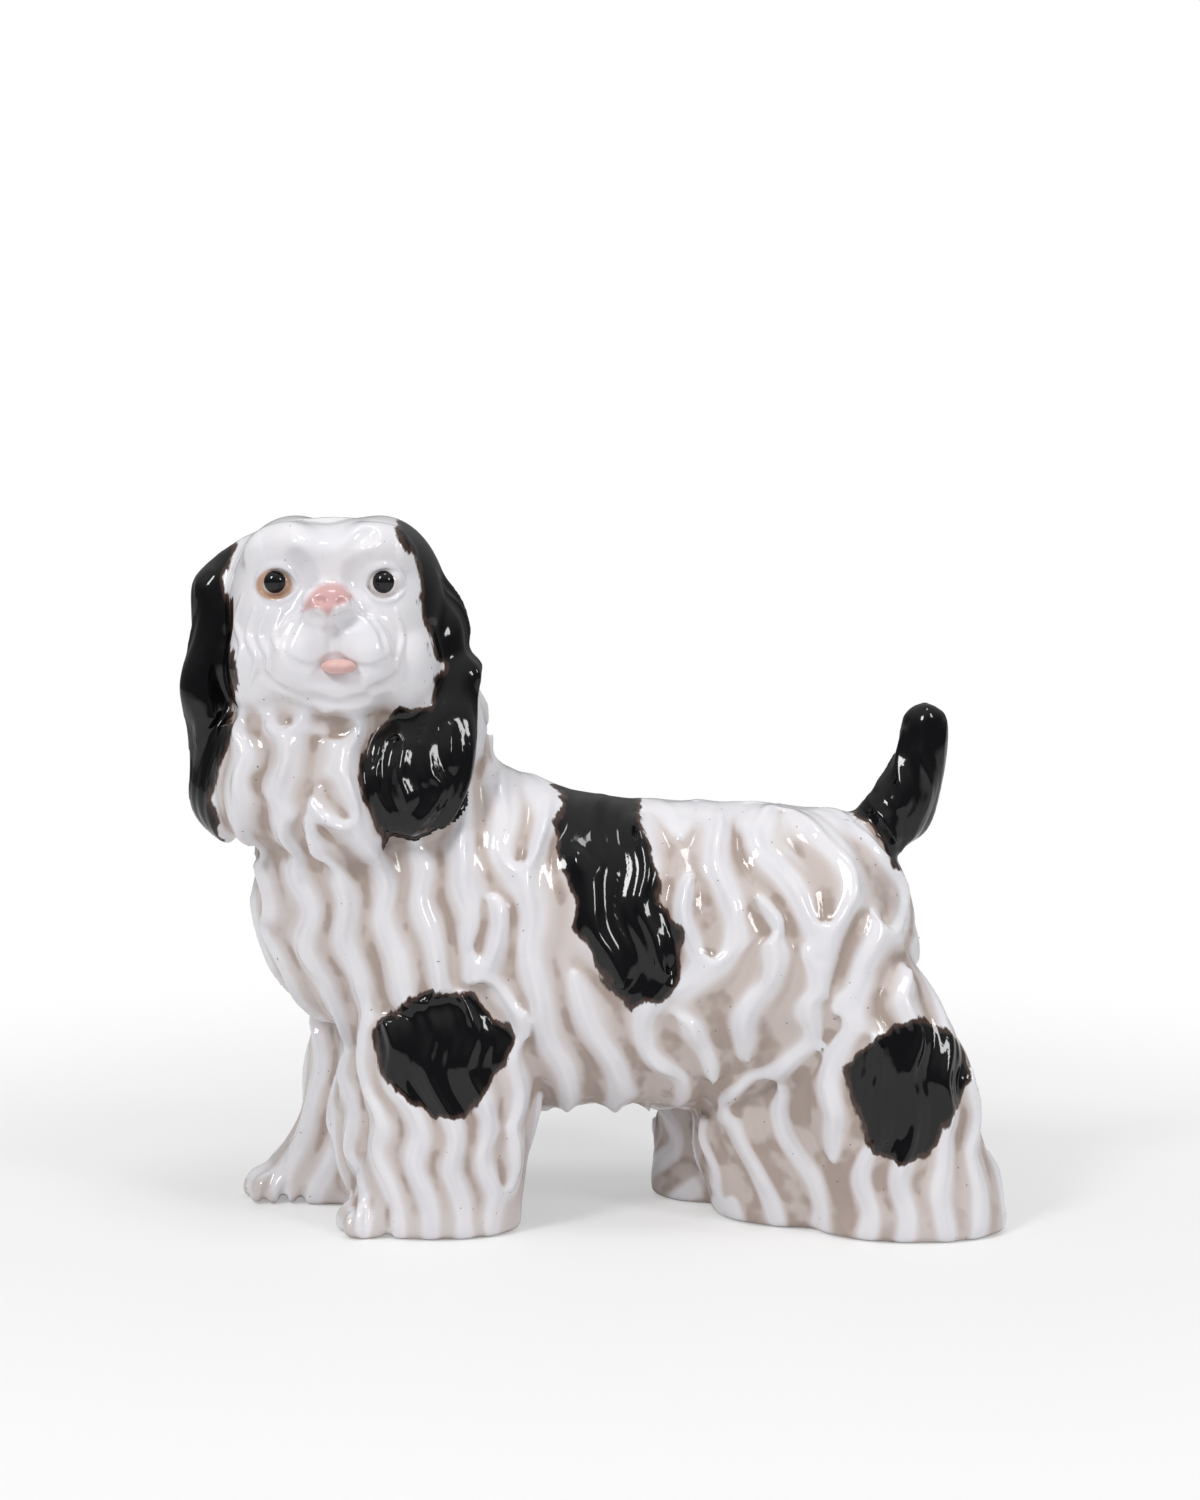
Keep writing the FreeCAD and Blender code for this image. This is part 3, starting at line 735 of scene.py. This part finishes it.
# The nose, hollows under it, nostrils, and lines down to the lips, along them and beside them.
dab((328, 596), (9.4, 6.6, 6.4), 2.4, 1.4)
dab((311, 618), (5.0, 4.0, 3.2), -2.0, 2.5, carve=True)
dab((346, 617), (5.0, 4.0, 3.2), -2.0, 2.5, carve=True)
face.bare = face.field.copy()
dab((320, 601), (1.9, 1.9, 1.5), -0.5, 1.0, carve=True)
dab((342, 602), (1.7, 1.7, 1.3), -0.5, 1.0, carve=True)
LIP_LINE = ((288, 659), (303, 667), (320, 667), (334, 657), (350, 666), (370, 669), (387, 662))
crease(((331, 614), (333, 630), (333, 647)), 1.7, 1.0, 1.6)
crease(LIP_LINE, 1.8, 1.3, 1.4)
crease(((308, 604), (298, 616), (288, 634), (282, 652)), 2.0, 0.9, 1.5)
crease(((354, 602), (366, 612), (380, 630), (386, 648)), 2.0, 0.8, 1.5)

# Strands on the cheeks and folds below the jaw.
CHEEK_STRANDS = (
    (242, 596, 236, 622, 242, 646, 235, 672), (254, 610, 248, 636, 257, 660, 250, 684),
    (267, 610, 260, 636, 269, 660, 262, 684), (281, 612, 274, 634, 279, 652),
    (396, 612, 403, 638, 397, 664, 404, 686), (411, 610, 417, 638, 411, 664, 416, 688),
)
JAW_FOLDS = (
    (264, 676, 282, 690, 304, 698), (312, 698, 338, 706, 366, 698), (372, 690, 392, 682, 408, 668),
)
for spots in CHEEK_STRANDS:
    crest(spots, 2.0, 1.1, 0.7)
for spots in JAW_FOLDS:
    crease(spots, 3.0, 1.2, 1.8)

# Each eye sits in a socket with an eyeball behind its pupil, between an upper and a lower lid.
EYES = ((276, 583), (384, 583))
UPPER_LID = ((-20, 4), (-15, -11), (0, -18), (14, -13), (23, 2))
LOWER_LID = ((-18, 6), (-10, 15), (3, 18), (15, 13), (22, 5))
face.bare = face.field.copy()
for node, middle in zip(("right_eye", "left_eye"), EYES):
    pupil = sum(box_mm(node)) / 2
    face.ball(pupil + np.array([0, -5.0, -0.3]), (8.2, 7.2, 6.6), 1.2, carve=True)
    face.ball(pupil + np.array([0, 3.4, -0.2]), (7.4, 5.6, 6.2), 0.5)
    crest(np.array(middle) + UPPER_LID, 1.5, 1.3, 0.8)
    crest(np.array(middle) + LOWER_LID, 1.3, 0.9, 0.8)
keep = ease(inner, 4.5, 9.0)
face.field = untouched * (1 - keep) + face.field * keep


def link_table(quads):
    """Each pair of corners joined by an edge, once."""
    pairs = np.concatenate([quads[:, [0, 1]], quads[:, [1, 2]], quads[:, [2, 3]], quads[:, [3, 0]]])
    pairs.sort(axis=1)
    return np.unique(pairs, axis=0)


def gathered(total, values, links):
    """The total with the values of each corner's neighbours added, column by column."""
    for column in range(values.shape[1]):
        for one, other in ((0, 1), (1, 0)):
            weights = values[links[:, other], column]
            total[:, column] += np.bincount(links[:, one], weights, len(values))
    return total


def relaxed(points, links, times):
    """Points drawn towards the middle of their neighbours."""
    count = np.bincount(links.ravel(), minlength=len(points)).astype(float)
    for _ in range(times):
        total = gathered(np.zeros_like(points), points, links)
        points = points + 0.5 * (total / count[:, None] - points)
    return points


def finished(form, polish, flatten):
    """A form's skin: quads, polished corners, their outward directions and depth in hollows."""
    corners, quads = form.skin()
    links = link_table(quads)
    smooth = relaxed(corners, links, polish)
    grounded = corners[:, 2] < 0.7 * STEP
    smooth[grounded, 2] = np.maximum(smooth[grounded, 2], 0)
    normals = form.slope(smooth)
    level = relaxed(smooth, links, flatten)
    return quads, smooth, normals, np.einsum("ij,ij->i", normals, level - smooth)


quads, corners, normals, cavity = finished(clay, 2, 40)
fine_quads, fine_corners, fine_normals, fine_cavity = finished(face, 3, 110)

# The face's skin takes the main skin's place a little inside the border of its grid. In front and
# above nothing borders on it, so there the limits are let out.
INSIDE_FACE = 3.0
LET_OUT = 40.0
FACE_OVERLAP = 0.8
face_a, face_b = FACE_LOW + INSIDE_FACE, FACE_HIGH - INSIDE_FACE
face_a[1] -= LET_OUT
face_b[2] += LET_OUT


def within(points, grow_by):
    """Whether points lie within the limits of the face's skin."""
    return np.all((points > face_a - grow_by) & (points < face_b + grow_by), axis=1)


coarse_kept = ~np.all(within(corners, -FACE_OVERLAP)[quads], axis=1)
fine_kept = np.all(within(fine_corners, 0.0)[fine_quads], axis=1)
quads = np.concatenate([quads[coarse_kept], fine_quads[fine_kept] + len(corners)])
corners, normals, cavity = map(
    np.concatenate, ((corners, fine_corners), (normals, fine_normals), (cavity, fine_cavity))
)
height = clay.between(crests.astype(np.float32), corners)


SETTLING_ROUNDS = 14


def settled_owners():
    """The casting of each corner, with ragged borders and islands smoothed away."""
    nearest = owners_at(corners)
    links = link_table(quads)
    votes = (nearest[:, None] == np.arange(len(CASTINGS))).astype(float)
    count = np.maximum(np.bincount(links.ravel(), minlength=len(corners)), 1).astype(float)
    for _ in range(SETTLING_ROUNDS):
        votes = gathered(votes.copy(), votes, links) / (count + 1)[:, None]
    return votes.argmax(axis=1)


owner = settled_owners()


def inside(points, outline):
    """Signed distance in pixels to a closed outline, more than zero inside it."""
    outline = np.reshape(outline, (-1, 2)).astype(float)
    nearest = np.full(len(points), 1e9)
    crossed = np.zeros(len(points), dtype=bool)
    for a, b in zip(outline, np.roll(outline, -1, axis=0)):
        run = b - a
        along = np.clip(((points - a) @ run) / (run @ run), 0, 1)
        gap = points - a - along[:, None] * run
        nearest = np.minimum(nearest, np.sum(gap * gap, axis=1))
        straddles = (a[1] > points[:, 1]) != (b[1] > points[:, 1])
        rise = b[1] - a[1] if b[1] != a[1] else 1e-9
        crossed ^= straddles & (points[:, 0] < a[0] + (points[:, 1] - a[1]) * run[0] / rise)
    return np.sqrt(nearest) * np.where(crossed, 1, -1)


# Outlines of the painted patches, each a run of x and y in the photograph's pixels.
SADDLE = (
    530, 730, 547, 770, 567, 806, 555, 820, 560, 861, 578, 906, 573, 928, 586, 938, 594, 958,
    611, 990, 627, 997, 631, 1012, 647, 1002, 663, 1003, 677, 986, 679, 968, 677, 951, 683, 931,
    660, 902, 660, 883, 652, 861, 641, 817, 639, 792, 632, 740,
)
FORE_PATCH = (
    374, 1034, 378, 1020, 391, 1010, 396, 1016, 408, 998, 441, 992, 471, 997, 493, 1015, 507, 1026,
    512, 1039, 504, 1065, 490, 1086, 478, 1100, 465, 1119, 452, 1117, 433, 1119, 419, 1107,
    397, 1094, 383, 1075, 379, 1056,
)
HIND_PATCH = (
    845, 1067, 854, 1052, 880, 1035, 906, 1021, 918, 1017, 939, 1026, 956, 1040, 968, 1059,
    970, 1079, 959, 1104, 949, 1121, 937, 1141, 927, 1153, 915, 1160, 898, 1166, 884, 1160,
    873, 1152, 863, 1131, 853, 1097,
)
TAIL_PATCH = (
    839, 806, 856, 795, 874, 785, 883, 760, 885, 700, 960, 690, 970, 830, 898, 872, 886, 844,
    871, 828, 855, 816,
)
RIGHT_EAR_PATCH = (
    243, 530, 222, 578, 230, 600, 232, 650, 235, 690, 230, 740, 218, 770, 212, 800, 222, 845,
    224, 880, 150, 880, 150, 510, 246, 510,
)
LEFT_EAR_PATCH = (
    398, 510, 398, 530, 418, 565, 420, 600, 430, 640, 437, 660, 446, 664, 434, 680, 430, 705,
    400, 710, 370, 740, 360, 770, 362, 800, 376, 822, 383, 850, 405, 870, 520, 870, 520, 510,
)
NOSE_PATCH = (
    303, 610, 309, 597, 320, 586, 333, 582, 345, 588, 352, 597, 344, 603, 334, 606, 328, 615,
    319, 607,
)

# Ink is more than zero inside a patch, by the pixels to its edge, and less than zero outside it.
# The saddle runs on over the far side; ears and tail are black behind.
NOT_THERE = -30
BLACK_BEHIND = 8
BLACK_TAIL = 20
INK_PER_PIXEL = 0.38
near_side = corners[:, 1] < spine_y
mirrored = corners * np.array([1, -1, 1]) + np.array([0, 2 * spine_y, 0])
shown = pixels(np.where(near_side[:, None], corners, mirrored))
seen = pixels(corners)
facing = normals[:, 1] < 0.35
ink = np.maximum(inside(shown, SADDLE), inside(shown, TAIL_PATCH))
tail_end = (owner == TAIL) & (corners[:, 2] > tail_low[2] + 24)
ink = np.maximum(ink, np.where(tail_end, BLACK_TAIL, NOT_THERE))
for outline in (FORE_PATCH, HIND_PATCH):
    ink = np.maximum(ink, np.where(near_side & facing, inside(seen, outline), NOT_THERE))
above_ruff = (corners[:, 2] > 125) & (corners[:, 0] < -30)
for outline, number in ((RIGHT_EAR_PATCH, RIGHT_EAR), (LEFT_EAR_PATCH, LEFT_EAR)):
    own = owner == number
    on_ear = above_ruff & (own | ((corners[:, 1] < spine_y - 2) & (owner == HEAD)))
    ink = np.maximum(ink, np.where(on_ear & facing, inside(seen, outline), NOT_THERE))
    ink = np.maximum(ink, np.where(own & ~facing, BLACK_BEHIND, NOT_THERE))
ink *= INK_PER_PIXEL

# The nose is pink and a ring of amber lies round each pupil, fainter round the left one.
RING_SIZE = np.array([19.0, 16.0])
front = (corners[:, 1] < spine_y - 30) & (normals[:, 1] < 0.2)
pink = np.where(front, ease(inside(seen, NOSE_PATCH), -5, 3), 0)
amber = np.zeros(len(corners))
for (across, drop), tone in zip(EYES, (1.0, 0.5)):
    off = (seen - np.array([across - 2 * tone, drop + 2])) / RING_SIZE
    ring = np.exp(-((np.linalg.norm(off, axis=1) - 0.74) / 0.30) ** 2)
    amber = np.maximum(amber, np.where(front, ring * tone, 0))

# The brown layer is partly the figure's own wash and partly painted shade. It lies between crests
# and in hollows, more so on the rear of the flank and in the hair that joins the hind legs, and
# hardly on the face and the back. Painted shade also darkens the surfaces that face down.
along, level = corners[:, 0], corners[:, 2]
flank = ease(along, -8, 36) * (1 - 0.6 * ease(along, 92, 118))
web = np.exp(-((along - 50) / 30) ** 2 - ((level - 34) / 26) ** 2)
wash_and_shade_share = 0.68 + 0.27 * flank * (1 - 0.5 * ease(level, 120, 150)) + 0.5 * web
# Painted shade: surfaces that face down are darkened.
under = ease(-normals[:, 2], 0.2, 0.9)
hairy = (1 - ease(level, 188, 204)) * (1 - 0.8 * ease(normals[:, 2], 0.55, 0.95))
valley = 1 - ease(height, 0.0, 0.85)
hollow = ease(cavity, 0.0, 0.8)
wash_and_shade = hairy * (valley * wash_and_shade_share + 0.3 * web)
wash_and_shade = np.clip(wash_and_shade + (0.10 + 0.6 * hairy * wash_and_shade_share) * hollow + 0.30 * under, 0, 1)
LAYERS = (("ink", ink), ("wash_and_shade", wash_and_shade), ("pink", pink), ("amber", amber))


def piece_of(name, points, faces, layers=(), directions=None):
    """A smooth-shaded piece with named values at its corners."""
    mesh = bpy.data.meshes.new(name)
    mesh.from_pydata((points * MM).tolist(), [], faces)
    for label, values in layers:
        layer = mesh.attributes.new(label, "FLOAT", "POINT")
        layer.data.foreach_set("value", np.ascontiguousarray(values, dtype=np.float32))
    mesh.polygons.foreach_set("use_smooth", np.ones(len(mesh.polygons), dtype=bool))
    mesh.update()
    if directions is not None:
        mesh.normals_split_custom_set_from_vertices(directions.tolist())
    piece = bpy.data.objects.new(name, mesh)
    bpy.context.scene.collection.objects.link(piece)
    return piece


def clay_piece(number):
    """The skin of one casting as a piece. It meets its neighbours corner to corner."""
    own = quads[owner[quads[:, 0]] == number]
    used, index = np.unique(own, return_inverse=True)
    layers = [(label, values[used]) for label, values in LAYERS]
    faces = index.reshape(own.shape).tolist()
    return piece_of(CASTINGS[number] + "_skin", corners[used], faces, layers, normals[used])


GLAZE_IOR = 1.45


class Wiring:
    """Makes and joins the nodes of a material or of the world."""

    def __init__(self, tree):
        self.nodes = tree.nodes
        self.wire = tree.links.new

    def feed(self, node, inputs):
        """Sets a node's inputs, or joins them to the outputs given."""
        for label, value in inputs.items():
            if isinstance(value, bpy.types.NodeSocket):
                self.wire(value, node.inputs[label])
            else:
                node.inputs[label].default_value = value

    def add(self, kind, output, inputs, **settings):
        """The named output of a new node with its settings and inputs."""
        node = self.nodes.new("ShaderNode" + kind)
        for label, value in settings.items():
            setattr(node, label, value)
        self.feed(node, inputs)
        return node.outputs[output]

    def ranged(self, value, start, end, top=1.0, bottom=0.0):
        """A value eased from bottom to top between start and end."""
        limits = {"From Min": start, "From Max": end, "To Min": bottom, "To Max": top}
        return self.add(
            "MapRange", "Result", {"Value": value, **limits}, interpolation_type="SMOOTHSTEP"
        )

    def mixed(self, share, first, second):
        """A blend of two colours."""
        colours = {"Factor": share, "A": first, "B": second}
        return self.add("Mix", "Result", colours, data_type="RGBA")


def shader_of(name, roughness, colour=(1, 1, 1, 1)):
    """A new material, its wiring and its glossy shader."""
    material = bpy.data.materials.new(name)
    material.use_nodes = True
    shader = material.node_tree.nodes["Principled BSDF"]
    shader.inputs["Roughness"].default_value = roughness
    shader.inputs["IOR"].default_value = GLAZE_IOR
    shader.inputs["Base Color"].default_value = colour
    return material, Wiring(material.node_tree), shader


# Colours of the glaze and of what is painted under it. The two browns stand for the wash and for
# painted shade in hollows and undersides.
GLAZE_WHITE = (0.80, 0.785, 0.81, 1)
GLAZE_COOL = (0.76, 0.75, 0.79, 1)
WASH_AND_SHADE_BROWN = (0.46, 0.355, 0.29, 1)
WASH_AND_SHADE_DARK = (0.25, 0.17, 0.125, 1)
AMBER = (0.40, 0.19, 0.07, 1)
NOSE_PINK = (0.60, 0.29, 0.28, 1)
PINHOLE = (0.10, 0.08, 0.07, 1)
BRUSHED_EDGE = (0.06, 0.035, 0.027, 1)
BLACK = (0.002, 0.002, 0.003, 1)


def glaze_material():
    """White clay under a glossy glaze, brown wash and painted shade in hollows and undersides,
    brushed black patches.
    """
    material, wiring, shader = shader_of("spaniel_glaze", 0.07)
    ranged, mixed = wiring.ranged, wiring.mixed
    place = wiring.add("TexCoord", "Object", {})
    drawn = wiring.add("Mapping", "Vector", {"Vector": place, "Scale": (1.0, 1.0, 0.4)})

    def value_of(label):
        return wiring.add("Attribute", "Fac", {}, attribute_name=label)

    def noise(where, scale, detail):
        return wiring.add("TexNoise", "Fac", {"Vector": where, "Scale": scale, "Detail": detail})

    def product(value, factor, added=0.0):
        inputs = {0: value, 1: factor, 2: added}
        return wiring.add("Math", "Value", inputs, operation="MULTIPLY_ADD")

    cloudy = noise(place, 70, 2)
    # The wash attribute brings in brown wash and painted shade; where it is strong the colour turns
    # dark brown.
    deep_wash_and_shade = product(value_of("wash_and_shade"), ranged(cloudy, 0.2, 0.6))
    colour = mixed(ranged(cloudy, 0.35, 0.7), GLAZE_WHITE, GLAZE_COOL)
    colour = mixed(ranged(value_of("wash_and_shade"), 0.08, 1.0, 0.66), colour, WASH_AND_SHADE_BROWN)
    colour = mixed(ranged(deep_wash_and_shade, 0.6, 1.0, 0.5), colour, WASH_AND_SHADE_DARK)
    colour = mixed(ranged(value_of("amber"), 0.25, 0.9, 0.8), colour, AMBER)
    colour = mixed(product(value_of("pink"), 0.8), colour, NOSE_PINK)
    colour = mixed(ranged(noise(place, 620, 0), 0.84, 0.87, 0.7), colour, PINHOLE)

    # Coarse and fine noise, drawn out along the brush, roughen the edges of the patches.
    brush = product(noise(drawn, 150, 2), 7.0, value_of("ink"))
    brush = product(noise(drawn, 700, 2), 1.6, brush)
    colour = mixed(ranged(brush, 3.4, 4.3), colour, BRUSHED_EDGE)
    colour = mixed(ranged(brush, 4.6, 6.2), colour, BLACK)
    wiring.wire(colour, shader.inputs["Base Color"])
    return material


glaze = glaze_material()


def stands_for(piece, node, material):
    """Gives a piece its finish and lets it stand for a CAD node."""
    piece.data.materials.append(material)
    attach(piece, "root")
    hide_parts(node)


for number, name in enumerate(CASTINGS):
    stands_for(clay_piece(number), name, glaze)


def pellet(node, rows, columns, dent=0.0):
    """A smooth raised pellet that fills a small CAD node, with a dent along its front."""
    a, b = box_mm(node)
    centre, radii = (a + b) / 2, (b - a) / 2
    turn = np.linspace(0, 2 * math.pi, columns, endpoint=False)
    tilt = np.linspace(0, math.pi, rows + 1)[1:-1]
    ball = [
        (math.sin(t) * math.cos(s), math.cos(t), math.sin(t) * math.sin(s))
        for t in tilt for s in turn
    ]
    ball = np.array([(0, 1, 0)] + ball + [(0, -1, 0)], dtype=float)
    ball[:, 1] *= 1 - dent * np.exp(-(ball[:, 0] / 0.3) ** 2) * (ball[:, 1] < 0)
    faces = [[0, 1 + k, 1 + (k + 1) % columns] for k in range(columns)]
    for start in range(1, 1 + (rows - 2) * columns, columns):
        for k in range(columns):
            a0, b0 = start + k, start + (k + 1) % columns
            faces.append([a0, a0 + columns, b0 + columns, b0])
    last = len(ball) - 1
    ring = last - columns
    faces += [[last, ring + (k + 1) % columns, ring + k] for k in range(columns)]
    return piece_of(node + "_skin", centre + ball * radii, faces)


enamel = shader_of("eye_enamel", 0.04, (0.004, 0.004, 0.005, 1))[0]
for node in ("left_eye", "right_eye"):
    stands_for(pellet(node, 32, 48), node, enamel)

# The tongue lies a little higher than its node.
TONGUE_LIFT = 3.2
lick, wiring, shader = shader_of("tongue_glaze", 0.09)
patchy = wiring.add("TexNoise", "Fac", {"Scale": 260})
tint = wiring.mixed(patchy, (0.66, 0.36, 0.33, 1), (0.78, 0.55, 0.52, 1))
wiring.wire(tint, shader.inputs["Base Color"])
tongue = pellet("tongue", 24, 40, 0.12)
tongue.location.z = TONGUE_LIFT * MM
stands_for(tongue, "tongue", lick)

# Seen by the camera, the floor brightens to plain white away from the figure and keeps its shadow.
FLOOR_REACH = 4000.0
floor_corners = FLOOR_REACH * np.array([(-1, -1, 0), (1, -1, 0), (1, 1, 0), (-1, 1, 0)])
floor = piece_of("floor", floor_corners, [(0, 1, 2, 3)])
pale, wiring, shader = shader_of("floor_pale", 0.6, (0.9, 0.9, 0.9, 1))
floor.data.materials.append(pale)
spot = wiring.add("TexCoord", "Object", {})
away = wiring.add("VectorMath", "Value", {0: spot}, operation="LENGTH")
fade = wiring.ranged(away, 0.12, 0.6, bottom=0.35)
to_camera = wiring.add("LightPath", "Is Camera Ray", {})
share = wiring.add("Math", "Value", {0: fade, 1: to_camera}, operation="MULTIPLY")
white = wiring.add("Emission", "Emission", {})
surface = wiring.add("MixShader", "Shader", {0: share, 1: shader.outputs["BSDF"], 2: white})
wiring.wire(surface, wiring.nodes["Material Output"].inputs["Surface"])

# The room is dim low down and brighter overhead. The camera sees it as plain white.
world = bpy.data.worlds.new("studio")
bpy.context.scene.world = world
world.use_nodes = True
wiring = Wiring(world.node_tree)
towards = wiring.add("TexCoord", "Generated", {})
overhead = wiring.add("SeparateXYZ", "Z", {"Vector": towards})
dome = wiring.ranged(overhead, 0.1, 0.95, top=0.6, bottom=0.16)
to_camera = wiring.add("LightPath", "Is Camera Ray", {})
glow = wiring.add("MapRange", "Result", {"Value": to_camera, "To Min": dome})
wiring.feed(wiring.nodes["Background"], {"Color": (1, 1, 1, 1), "Strength": glow})

LAMPS_AIM = Vector((0, 0, 0.12))


def soft_box(name, place, size, power):
    """A rectangular studio lamp aimed at the figure."""
    lamp = bpy.data.lights.new(name, "AREA")
    lamp.shape = "RECTANGLE"
    lamp.size, lamp.size_y = size
    lamp.energy = power
    holder = bpy.data.objects.new(name, lamp)
    holder.location = place
    holder.rotation_euler = (LAMPS_AIM - Vector(place)).to_track_quat("-Z", "Y").to_euler()
    bpy.context.scene.collection.objects.link(holder)


soft_box("window_left", (-0.9, -1.1, 1.3), (0.35, 0.5), 13)
soft_box("window_right", (1.2, -1.0, 1.0), (0.3, 0.45), 7)
soft_box("window_high", (0.1, -0.3, 1.7), (0.4, 0.4), 5)

SENSOR = 36
camera = bpy.data.cameras.new("camera")
camera.sensor_width = SENSOR
camera.lens = SENSOR * FOCAL_PIXELS / PICTURE[1]
viewer = bpy.data.objects.new("camera", camera)
viewer.location = CAMERA * MM
viewer.rotation_euler = Vector(AIM - CAMERA).to_track_quat("-Z", "Y").to_euler()
bpy.context.scene.collection.objects.link(viewer)
bpy.context.scene.camera = viewer
bpy.context.scene.view_settings.view_transform = "Standard"
